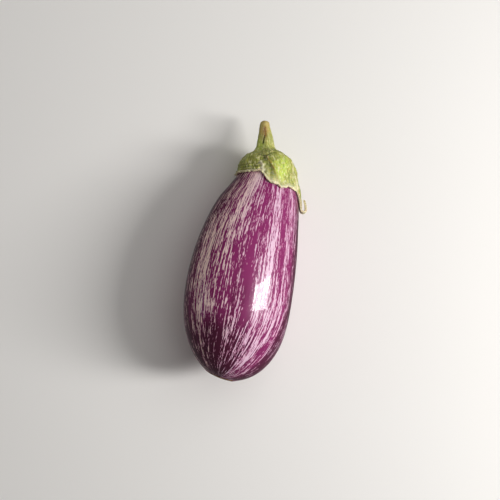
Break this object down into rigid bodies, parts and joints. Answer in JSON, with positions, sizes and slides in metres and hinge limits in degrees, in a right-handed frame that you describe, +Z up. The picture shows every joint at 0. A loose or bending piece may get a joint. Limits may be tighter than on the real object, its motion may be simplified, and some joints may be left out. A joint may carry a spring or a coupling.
{
  "type": "eggplant",
  "caption": "Whole striped eggplant lying on its side: a plump, slightly bent pear-shaped fruit with a green lobed calyx, one lobe curled back in a hook, and a short stub of stem.",
  "frame": {"origin": "under the middle of the whole, on the surface it rests on", "axes": "+Z up, +Y along the length from the blossom end to the stem, +X to the right of +Y seen from above"},
  "size_m": [0.082, 0.1944, 0.0794],
  "materials": {
    "skin": "smooth waxy skin, magenta purple with cream streaks",
    "calyx": "satin fleshy green leaf, ribbed"
  },
  "bodies": {
    "root": {"fruit": "skin", "calyx": "calyx"}
  },
  "joints": []
}
